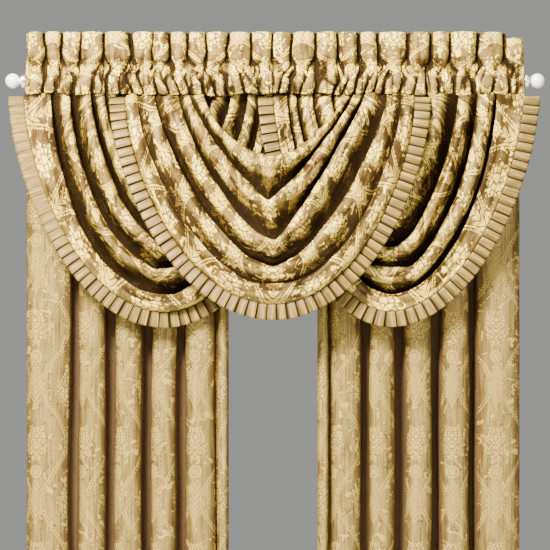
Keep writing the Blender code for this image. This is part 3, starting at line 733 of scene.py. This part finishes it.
def build_heading(material):
    """The strip, from its foot up the back, over the top of the frill and down the front."""
    x = np.linspace(-HEADING_HALF, HEADING_HALF, HEADING_COLUMNS)
    layers = np.array(HEADING_LAYERS)
    front_path, back_path = smooth_path(layers, 5), smooth_path(layers, 2)
    top = HEADING_TOP_Z - LAST_PUFF_DROP * smoothstep(x, 0.708, 0.716)
    top = top + 0.0035 * (gathers(x, FRILL_GAPS, 5, 1.0)[0] - 0.6)
    foot = HEADING_FOOT_Z + seam_lift(x)
    ends = smoothstep(HEADING_HALF - np.abs(x), 0.0, 0.010)
    rows, folds = [], []
    order = [(row, False) for row in back_path[::-1]] + [(row, True) for row in front_path]
    for (height, ahead, behind), front in order:
        z = foot + (top - foot) * height
        above, depth, gap = heading_row(x, z, foot)
        on_rod = np.sqrt(np.maximum(CLEAR_OF_ROD ** 2 - z ** 2, 0.0))
        if front:
            forward = ahead + depth
            forward = np.where(on_rod > 0, np.maximum(forward, on_rod), forward)
        else:
            forward = behind + depth * (0.25 + 0.75 * above)
            forward = np.where(on_rod > 0, np.minimum(forward, -on_rod), forward)
            # The back layer takes half the painted shade.
            gap = gap * 0.5
        rows.append(np.stack([x, FRONT_ROD_Y - forward, z], axis=1))
        folds.append(1.2 * gap * ends)
    grid = np.array(rows)
    frill_row = grid[len(back_path) + 4][None]
    u = run_length(frill_row, 1)[0] * 1.1
    v = -run_length(grid, 0)[:, [HEADING_COLUMNS // 2]]
    heading = cloth_object("heading_strip", grid, v, u, np.array(folds), CLOTH, material)
    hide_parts("heading")


gold_damask = damask("gold_damask", GOLD, **GOLD_WEAVE)
build_heading(gold_damask)


# Swags
# Each is one cut sheet, pleated up at both ends into the pocket's seam so that it hangs in deep nested
# folds. The centre one hangs in front, and the right one crosses over the left one behind it.
SWAG_TOP_Z = -0.0491
SWAG_COLUMNS = 260
# Each fold line's two ends and lowest point, how full its arms hang, how deep the fold is, and how much
# of the way to the next line is lit.
LINE_COLUMNS = ("left", "right", "low_x", "low_z", "full_left", "full_right", "depth",
                "lit_left", "lit_middle", "lit_right")
CENTRE_LINES = (
    (-0.219, 0.209, -0.014, -0.240, 0.50, 0.46, 1.0, 0.50, 0.30, 0.56),
    (-0.265, 0.242, -0.020, -0.362, 0.16, 0.14, 1.0, 0.54, 0.30, 0.62),
    (-0.296, 0.279, 0.000, -0.490, 0.40, 0.00, 1.0, 0.56, 0.36, 0.44),
    (-0.370, 0.345, -0.006, -0.580, 0.45, 0.40, 0.42, 0.60, 0.40, 0.60),
    (-0.422, 0.388, 0.003, -0.634, 0.80, 0.80, 0.16, 0.60, 0.50, 0.60),
    (-0.459, 0.428, -0.003, -0.685, 1.00, 1.00, 0.3, 0.60, 0.50, 0.60),
)
LEFT_LINES = (
    (-0.490, -0.191, -0.342, -0.268, 0.40, 0.40, 0.9, 0.48, 0.26, 0.50),
    (-0.525, -0.136, -0.342, -0.403, 0.50, 0.50, 1.0, 0.46, 0.24, 0.48),
    (-0.567, -0.083, -0.342, -0.502, 0.65, 0.60, 1.0, 0.50, 0.30, 0.50),
    (-0.631, -0.037, -0.342, -0.576, 0.95, 0.80, 1.0, 0.42, 0.36, 0.52),
    (-0.690, 0.018, -0.342, -0.656, 1.10, 0.90, 0.14, 0.60, 0.50, 0.60),
    (-0.771, 0.074, -0.342, -0.711, 0.95, 0.95, 0.3, 0.60, 0.50, 0.60),
)
RIGHT_LINES = (
    (0.213, 0.428, 0.354, -0.259, 0.40, 0.40, 0.8, 0.58, 0.34, 0.58),
    (0.172, 0.474, 0.354, -0.403, 0.50, 0.50, 0.8, 0.56, 0.34, 0.56),
    (0.114, 0.564, 0.354, -0.514, 0.60, 0.65, 0.8, 0.56, 0.40, 0.54),
    (0.065, 0.622, 0.354, -0.582, 0.80, 0.95, 0.9, 0.56, 0.44, 0.64),
    (0.037, 0.682, 0.354, -0.653, 0.90, 1.00, 0.14, 0.60, 0.50, 0.60),
    (-0.004, 0.764, 0.354, -0.708, 0.90, 0.90, 0.3, 0.60, 0.50, 0.60),
)
# How far in front of the front rod the valleys and crests stand at the heading, what they gain lower
# down, and the hem's share of the depth between them.
DEPTH_COLUMNS = ("valley", "crest", "valley_gain", "crest_gain", "hem_left", "hem_right")
CENTRE_DEPTH = (0.004, 0.018, 0.057, 0.105, 0.25, 0.25)
LEFT_DEPTH = (-0.015, -0.002, -0.026, 0.047, 0.60, 0.0)
RIGHT_DEPTH = (-0.008, 0.006, -0.030, 0.044, 0.60, 0.60)
DEPTH_LENGTH = 0.055
# Where a swag goes in behind its neighbour: from here to there, which depth changes, and its gain there.
LEFT_TUCK = (-0.234, -0.110, "crest", -0.001)
RIGHT_TUCK = (0.212, 0.105, "valley", 0.018)
# One fold from its upper edge down: share of the lit band, share of the hollow below it, and how far
# forward the cloth stands on the arms and in the middle.
FOLD_STEPS = (
    (0.00, 0.00, 0.56, 0.66), (0.08, 0.00, 0.86, 0.90), (0.40, 0.00, 1.00, 1.00), (0.78, 0.00, 0.92, 0.96),
    (1.00, 0.04, 0.68, 0.80), (1.00, 0.34, 0.36, 0.56), (1.00, 0.72, 0.12, 0.34), (1.00, 1.06, 0.00, 0.16),
    (1.00, 1.13, 0.24, 0.38),
)
HEM_STEPS = (
    (0.00, 0.00, 0.58, 0.62), (0.14, 0.00, 0.88, 0.92), (0.45, 0.00, 0.90, 0.90), (0.75, 0.00, 0.86, 0.86),
)
# The top edge, rolled over to the back: the place below the first fold line, and the share of the depth.
LIP_STEPS = ((0.34, 0.22), (0.16, 0.14), (-0.02, 0.26))
MEAN_DEPTH = 0.62
ROW_STEPS = 3
# Odd hollows where the cloth dents between its folds: place, half length and width, turn, and depth.
CENTRE_HOLLOWS = (
    (-0.312, -0.370, 0.120, 0.022, -66, 0.014), (-0.250, -0.545, 0.085, 0.018, -50, 0.011),
    (0.262, -0.520, 0.070, 0.015, 52, 0.010), (-0.130, -0.640, 0.045, 0.010, -28, 0.008),
    (0.330, -0.330, 0.060, 0.012, 66, 0.009),
)
LEFT_HOLLOWS = (
    (-0.660, -0.330, 0.090, 0.016, -72, 0.012), (-0.560, -0.570, 0.070, 0.013, -46, 0.010),
    (-0.330, -0.665, 0.070, 0.010, 4, 0.008),
)
RIGHT_HOLLOWS = (
    (0.665, -0.330, 0.080, 0.015, 72, 0.012), (0.560, -0.560, 0.070, 0.013, 46, 0.010),
    (0.400, -0.660, 0.060, 0.010, 8, 0.008),
)


def fold_line(row, across):
    """X and Z along one fold's upper edge, from the left arm at -1 to the right arm at 1."""
    left_arm = across < 0
    reach = np.where(left_arm, row["low_x"] - row["left"], row["right"] - row["low_x"])
    full = np.where(left_arm, row["full_left"], row["full_right"])
    drop = (1.0 - np.abs(across) ** (1.2 + 0.8 * full)) ** (1.0 / (1.0 + 0.6 * full))
    return row["low_x"] + across * reach, SWAG_TOP_Z + (row["low_z"] - SWAG_TOP_Z) * drop


def forward_of(depth_row, tuck, x, z, share):
    """How far in front of the front rod a swag's cloth stands."""
    depth = dict(zip(DEPTH_COLUMNS, depth_row))
    growth = 1.0 - np.exp(-np.maximum(SWAG_TOP_Z - z, 0.0) / DEPTH_LENGTH)
    gains = {"valley": depth["valley_gain"], "crest": depth["crest_gain"]}
    if tuck:
        start, end, which, tucked = tuck
        share_tucked = smoothstep(x, start, end) if end > start else 1 - smoothstep(x, end, start)
        gains[which] = gains[which] * (1.0 - share_tucked) + tucked * share_tucked
    valley = depth["valley"] + gains["valley"] * growth
    crest = depth["crest"] + gains["crest"] * growth
    return valley + share * (crest - valley)


def swag_controls(rows, across, depth_row, seed):
    """Control rows down a swag: the place among its fold lines, and the share of the depth there."""
    middle = np.exp(-(across / 0.26) ** 2)
    side = smoothstep(across, -0.3, 0.3)
    hem_left, hem_right = depth_row[4:6]
    hem_share = hem_left + (hem_right - hem_left) * smoothstep(across, -0.6, 0.6)
    controls = [(np.full(SWAG_COLUMNS, way), np.full(SWAG_COLUMNS, depth)) for way, depth in LIP_STEPS]
    last = len(rows) - 1
    for k, row in enumerate(rows[:last]):
        lit = (row["lit_left"] * (1 - side) + row["lit_right"] * side) * (1 - middle)
        lit = lit + row["lit_middle"] * middle
        lit = lit * (1.0 + 0.22 * soft_noise(across * 5, k * 3.3, seed + 2))
        strength = row["depth"] * (1.0 + 0.16 * soft_noise(across * 4, k * 2.9, seed + 3))
        for band, hollow, on_arm, in_middle in (HEM_STEPS if k == last - 1 else FOLD_STEPS):
            depth = on_arm * (1 - middle) + in_middle * middle
            if k == last - 1:
                depth += (hem_share - depth) * smoothstep(band, 0.3, 1.0)
                band = band / np.maximum(lit, 0.01)
            controls.append((k + band * lit + hollow * (1 - lit),
                             MEAN_DEPTH + (depth - MEAN_DEPTH) * strength))
    controls.append((np.full(SWAG_COLUMNS, float(last)), hem_share))
    return np.array(controls)


def press_hollows(hollows, x, z, share, forward):
    """Presses the odd hollows into the cloth. Gives its new place, and the painted shade in each hollow."""
    dark = np.zeros_like(x)
    for hollow_x, hollow_z, length, width, turn, hollow_depth in hollows:
        turn = math.radians(turn)
        along = ((x - hollow_x) * math.cos(turn) + (z - hollow_z) * math.sin(turn)) / length
        aside = ((z - hollow_z) * math.cos(turn) - (x - hollow_x) * math.sin(turn)) / width
        hollow = np.exp(-(along ** 2 + aside ** 2)) * np.clip((share - 0.5) / 0.3, 0.0, 1.0)
        forward = forward - hollow_depth * hollow
        dark = np.maximum(dark, hollow * 0.60)
    return forward, dark


def build_swag(word, lines, depth_row, tuck, raised_side, hollows, seed, material):
    """One swag: a sheet between fold lines, pushed forward and back, then dented and creased."""
    across = -np.cos(np.linspace(0.0, math.pi, SWAG_COLUMNS))
    arm = 1.0 - np.abs(across)
    rows = [dict(zip(LINE_COLUMNS, line)) for line in lines]
    curves = np.array([fold_line(row, across) for row in rows])
    last = len(rows) - 1
    for k in range(last):
        sway = 0.009 * soft_noise(across * 3.1, k * 2.3, seed)
        sway += 0.004 * soft_noise(across * 9, k * 1.7, seed + 1)
        curves[k, 1] += sway * smoothstep(arm, 0.0, 0.25)
    path = smooth_path(swag_controls(rows, across, depth_row, seed), ROW_STEPS)
    where, share = path[:, 0], path[:, 1]
    upper = np.clip(np.floor(where).astype(int), 0, last - 1)
    way = where - upper
    column = np.arange(SWAG_COLUMNS)
    x = curves[upper, 0, column] * (1 - way) + curves[upper + 1, 0, column] * way
    z = curves[upper, 1, column] * (1 - way) + curves[upper + 1, 1, column] * way
    forward = forward_of(depth_row, tuck, x, z, share)
    z = z + seam_lift(x) * np.exp(-np.maximum(SWAG_TOP_Z - z, 0.0) / 0.02)
    outer = smoothstep(raised_side * x, 0.445, 0.50) if raised_side else 0.0
    forward = forward + outer * 0.016 * np.exp(-(SWAG_TOP_Z - z) / 0.045)
    forward, dark = press_hollows(hollows, x, z, share, forward)
    loose = smoothstep(arm, 0.0, 0.2)
    dents = 0.8 * soft_noise(where * 3.1, across * 6, seed + 5) + 0.6 * soft_noise(x * 42, z * 19, seed + 6)
    dents = dents + 0.8 * soft_noise(where * 6.3, across * 2.6, seed + 7)
    tuck = np.clip(1.0 - creases(where * 4.3 + 5, across * 2.6, seed + 9) / 0.28, 0.0, 1.0)
    tuck = tuck * smoothstep(share, 0.55, 0.8)
    crease = 0.0046 * dents - 0.0030 * tuck
    at_hem = smoothstep(last - where, 0.0, 0.2)
    forward = forward + crease * loose * at_hem
    grid = np.stack([x, FRONT_ROD_Y - forward, z], axis=-1)
    u = run_length(grid, 1)
    u = u - u[:, [SWAG_COLUMNS // 2]]
    # The weave is eased along the shorter inner folds, so that it doesn't run askew up the arms.
    reach = np.where(u < 0, -u[:, :1], u[:, -1:])
    woven = u * (reach.mean() / reach) ** 0.75
    v = run_length(grid, 0)
    v = v[-1:] - v
    # Painted shade: deep in each fold's hollow, in the odd hollows, dents and tucks, and a painted shadow
    # along the top under the heading's foot.
    fold = smoothstep(-share, -0.98, -0.06) * np.clip((last - where) / 0.8, 0.0, 1.0)
    fold = np.maximum(fold, dark) + 0.26 * np.clip(-dents, 0.0, 1.0) + 0.34 * tuck
    fold = np.maximum(fold, 0.30 * smoothstep(z, SWAG_TOP_Z - 0.014, SWAG_TOP_Z))
    swag = cloth_object("swag_" + word + "_cloth", grid, woven + seed * 0.13, v, fold, CLOTH, material)
    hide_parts("swag_" + word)
    return swag, grid


swags = (
    ("left", LEFT_LINES, LEFT_DEPTH, LEFT_TUCK, -1, LEFT_HOLLOWS, 31),
    ("right", RIGHT_LINES, RIGHT_DEPTH, RIGHT_TUCK, 1, RIGHT_HOLLOWS, 47),
    ("centre", CENTRE_LINES, CENTRE_DEPTH, None, 0, CENTRE_HOLLOWS, 59),
)
hung = {}
for swag_word, *swag_shape in swags:
    hung[swag_word] = build_swag(swag_word, *swag_shape, gold_damask)


# Edgings
# A strip of plain striped satin, folded double, pressed into knife pleats that each lap over the next,
# and sewn round a swag's hem. Its stripes run out from the hem.
SATIN = {"ground": "#655328", "streak": "#48371A", "gleam": "#93793A", "shade": "#180F06"}
EDGING_WIDTH = 0.048
EDGING_CLOTH = 0.0022
EDGING_SEAM_GAP = 0.0012
EDGING_TOP_DROP = 0.009
PLEAT_PITCH = 0.028
PLEAT_STEP_SEAM = 0.0028
PLEAT_STEP_RIM = 0.0070
EDGING_FLARE = 0.003
# Across one pleat: share of its pitch, how far forward it stands, and how much painted shade it takes in the
# fold.
PLEAT_STEPS = (
    (0.02, 0.00, 1.0), (0.11, 0.08, 0.95), (0.22, 0.26, 0.52), (0.45, 0.60, 0.26), (0.75, 0.90, 0.04),
    (0.93, 1.00, 0.0), (0.985, 0.86, 0.25), (0.975, 0.45, 1.0), (0.955, 0.20, 1.0),
)


def pleated_satin():
    """Warp-faced satin with slubbed stripes: smooth, with a broad soft gloss along the threads."""
    material = new_material("pleated_satin_edging")
    uv = add_node(material, "UVMap", uv_map="flat_cloth")
    stripe, ramp = slubbed_stripes(material, uv, (300.0, 14.0, 0.0), SATIN, 0.32)
    # Painted shade in the pleats: the fold attribute darkens the satin to its shade colour and dims its gloss.
    fold = add_node(material, "Attribute", attribute_name="fold").node.outputs["Fac"]
    dark = add_node(material, "MapRange", {0: fold, 1: 0.1, 2: 0.8, 3: 0.0, 4: 0.92})
    colour = add_node(material, "MixRGB", (dark, ramp, linear(SATIN["shade"])))
    shine = add_node(material, "MapRange", {0: fold, 1: 0.1, 2: 0.8, 3: 0.45, 4: 0.0})
    bump = add_node(material, "Bump", {"Strength": 1.0, "Distance": 0.0003, "Height": stripe})
    shader = add_node(material, "BsdfPrincipled", {
        "Base Color": colour, "Roughness": 0.42, "Normal": bump,
        "Specular IOR Level": shine, "Specular Tint": linear(SHEEN)})
    add_node(material, "OutputMaterial", {"Surface": shader})
    return material


def build_edging(word, hem, seed, material):
    """The pleats round one hem, each a little uneven in place, lift and tilt."""
    run = run_length(hem[None], 1)[0]
    tangent = np.gradient(hem[:, (0, 2)], axis=0)
    tangent /= np.linalg.norm(tangent, axis=1, keepdims=True)
    outward = np.stack([tangent[:, 1], np.zeros(len(hem)), -tangent[:, 0]], axis=1)
    start, end = EDGING_TOP_DROP, run[-1] - EDGING_TOP_DROP
    pleats = round((end - start) / PLEAT_PITCH)
    pitch = (end - start) / pleats
    random = np.random.default_rng(seed)
    places, lifts, folds, tilts = [], [], [], []
    for k in range(pleats):
        nudge = random.uniform(-0.04, 0.04)
        size = random.uniform(0.8, 1.2)
        tilt = random.uniform(-0.5, 0.5)
        for share, lift, fold in PLEAT_STEPS:
            places.append(start + (k + share + nudge * (0 < k < pleats - 1)) * pitch)
            lifts.append(lift * size)
            folds.append(fold)
            tilts.append(tilt)
    places, lifts, folds, tilts = map(np.array, (places, lifts, folds, tilts))
    at = np.stack([np.interp(places, run, hem[:, i]) for i in range(3)], axis=1)
    way = np.stack([np.interp(places, run, outward[:, i]) for i in range(3)], axis=1)
    way /= np.linalg.norm(way, axis=1, keepdims=True)
    # High on the left swag's outer arm the pleats lie almost flat and take less painted shade.
    pressed = smoothstep(-at[:, 0], 0.58, 0.70)
    lifts = lifts * (1.0 - 0.8 * pressed)
    folds = folds * (1.0 - 0.75 * pressed)
    grid = []
    for share in np.linspace(0.0, 1.0, 9):
        step = PLEAT_STEP_SEAM + (PLEAT_STEP_RIM - PLEAT_STEP_SEAM) * share
        curl = 0.0012 * math.sin(math.pi * share)
        forward = lifts * step + share * EDGING_FLARE + curl + 0.0012 * share * tilts
        reach = EDGING_SEAM_GAP + EDGING_WIDTH * share + 0.0008 * share * tilts
        points = at + way * reach[:, None]
        points[:, 1] -= forward
        grid.append(points)
    grid = np.array(grid)
    u = np.broadcast_to(run_length(grid[:1], 1)[0], grid.shape[:2])
    v = np.linspace(0.0, EDGING_WIDTH, len(grid))[:, None]
    fold = np.broadcast_to(folds, grid.shape[:2])
    edging = cloth_object("edging_" + word + "_pleats", grid, u, v, fold, EDGING_CLOTH, material)
    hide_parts("edging_" + word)


satin = pleated_satin()
for number, (hung_word, (hung_swag, hung_grid)) in enumerate(hung.items()):
    build_edging(hung_word, hung_grid[-1], 71 + number, satin)


# Finials
# A pair of cast balls with a pearly lacquer over nickel, each on a short neck and a collar that plugs
# the front rod's end.
PEARL = "#F1E6E2"
PEARL_SHADE = "#D9C9C6"
BALL_X = 0.8076
BALL_RADIUS = 0.023
FINIAL_START_X = 0.7796
NECK_RADIUS = 0.0068
# Collar and neck: how far out from the rod's end, and the radius there.
COLLAR = (
    (0.0, 0.0), (0.0, 0.0136), (0.0004, 0.0140), (0.0022, 0.0140), (0.0026, 0.0136), (0.0026, 0.0076),
    (0.0034, NECK_RADIUS),
)


def pearl_lacquer():
    """Clear-coated pearl paint: pale, slightly pink, with a sharp highlight over a soft one."""
    material = new_material("pearl_lacquer_ball")
    place = add_node(material, "TexCoord").node.outputs["Object"]
    cloud = add_node(material, "TexNoise", {"Vector": place, "Scale": 90.0, "Detail": 2.0})
    colour = add_node(material, "MixRGB", (cloud, linear(PEARL_SHADE), linear(PEARL)))
    shader = add_node(material, "BsdfPrincipled", {
        "Base Color": colour, "Roughness": 0.28, "Metallic": 0.15, "Coat Weight": 0.6, "Coat Roughness": 0.06})
    add_node(material, "OutputMaterial", {"Surface": shader})
    return material


def build_finial(word, side, material):
    """Collar, neck and ball, turned as one about the rod's middle."""
    profile = [(FINIAL_START_X + out, radius) for out, radius in COLLAR]
    neck = math.asin(NECK_RADIUS / BALL_RADIUS)
    for angle in np.linspace(neck, math.pi, 26):
        profile.append((BALL_X - BALL_RADIUS * math.cos(angle), BALL_RADIUS * math.sin(angle)))
    mesh = bpy.data.meshes.new("finial")
    bm = bmesh.new()
    made = [bm.verts.new((side * x, FRONT_ROD_Y, radius)) for x, radius in profile]
    edges = [bm.edges.new(pair) for pair in zip(made, made[1:])]
    bmesh.ops.spin(bm, geom=made + edges, cent=(0, FRONT_ROD_Y, 0), axis=(1, 0, 0), angle=2 * math.pi,
                   steps=64, use_merge=True)
    bmesh.ops.remove_doubles(bm, verts=bm.verts, dist=1e-6)
    bmesh.ops.recalc_face_normals(bm, faces=bm.faces)
    bm.to_mesh(mesh)
    bm.free()
    finial = bpy.data.objects.new("finial", mesh)
    bpy.context.scene.collection.objects.link(finial)
    smooth_faces(finial)
    settle(finial, "finial_" + word + "_ball", material)
    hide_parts("finial_" + word)


pearl = pearl_lacquer()
for word, side in (("left", -1), ("right", 1)):
    build_finial(word, side, pearl)


# Stage
# A plain pale floor under the curtains' hems, soft studio light from the front and above, and a camera
# square on to the valance from well back, as the photograph was taken.
FLOOR = "#E4E2DE"
FLOOR_SHADE = "#DAD8D4"
STUDIO = "#D9DAD4"
STUDIO_STRENGTH = 0.48
FLOOR_Z = -2.14
CAMERA_DISTANCE = 6.0
VIEW_CENTRE_Z = -0.5975
VIEW_HALF = 0.847
SENSOR = 36.0
AREA_LIGHTS = (
    ("key_light", (-1.6, -3.0, 1.9), (1.5, 1.1), 1500.0, "#FDF9EC"),
    ("fill_light", (2.4, -3.6, 0.2), (2.4, 2.4), 120.0, "#FFFBF5"),
    ("top_light", (0.2, -1.4, 2.6), (2.6, 0.9), 110.0, "#FFFAF0"),
)
AIM = (0.0, -0.15, -0.55)


def floor_paint():
    """Matt pale paint, hardly mottled: an even ground that takes a soft shadow."""
    material = new_material("matt_floor_paint")
    place = add_node(material, "TexCoord").node.outputs["Object"]
    speckle = add_node(material, "TexNoise", {"Vector": place, "Scale": 3.0, "Detail": 2.0})
    colour = add_node(material, "MixRGB", (speckle, linear(FLOOR_SHADE), linear(FLOOR)))
    shader = add_node(material, "BsdfPrincipled", {"Base Color": colour, "Roughness": 0.8})
    add_node(material, "OutputMaterial", {"Surface": shader})
    return material


bpy.ops.mesh.primitive_plane_add(size=7.0, location=(0, -1.0, FLOOR_Z))
floor = bpy.context.object
floor.name = "floor"
floor.data.materials.append(floor_paint())

world = bpy.data.worlds.new("studio")
world.use_nodes = True
world.node_tree.nodes["Background"].inputs["Color"].default_value = linear(STUDIO)
world.node_tree.nodes["Background"].inputs["Strength"].default_value = STUDIO_STRENGTH
bpy.context.scene.world = world

for light_name, light_place, light_size, light_power, light_colour in AREA_LIGHTS:
    bpy.ops.object.light_add(type="AREA", location=light_place)
    light = bpy.context.object
    light.name = light_name
    light.data.shape = "RECTANGLE"
    light.data.size, light.data.size_y = light_size
    light.data.energy = light_power
    light.data.color = linear(light_colour)[:3]
    toward = np.array(AIM) - np.array(light_place)
    yaw = math.atan2(toward[1], toward[0]) - math.pi / 2
    pitch = math.atan2(toward[2], math.hypot(toward[0], toward[1])) + math.pi / 2
    light.rotation_euler = (pitch, 0.0, yaw)

bpy.ops.object.camera_add(location=(0, FRONT_ROD_Y - CAMERA_DISTANCE, VIEW_CENTRE_Z),
                          rotation=(math.pi / 2, 0, 0))
camera = bpy.context.object
camera.data.sensor_width = SENSOR
camera.data.lens = SENSOR * CAMERA_DISTANCE / (2 * VIEW_HALF)
bpy.context.scene.camera = camera
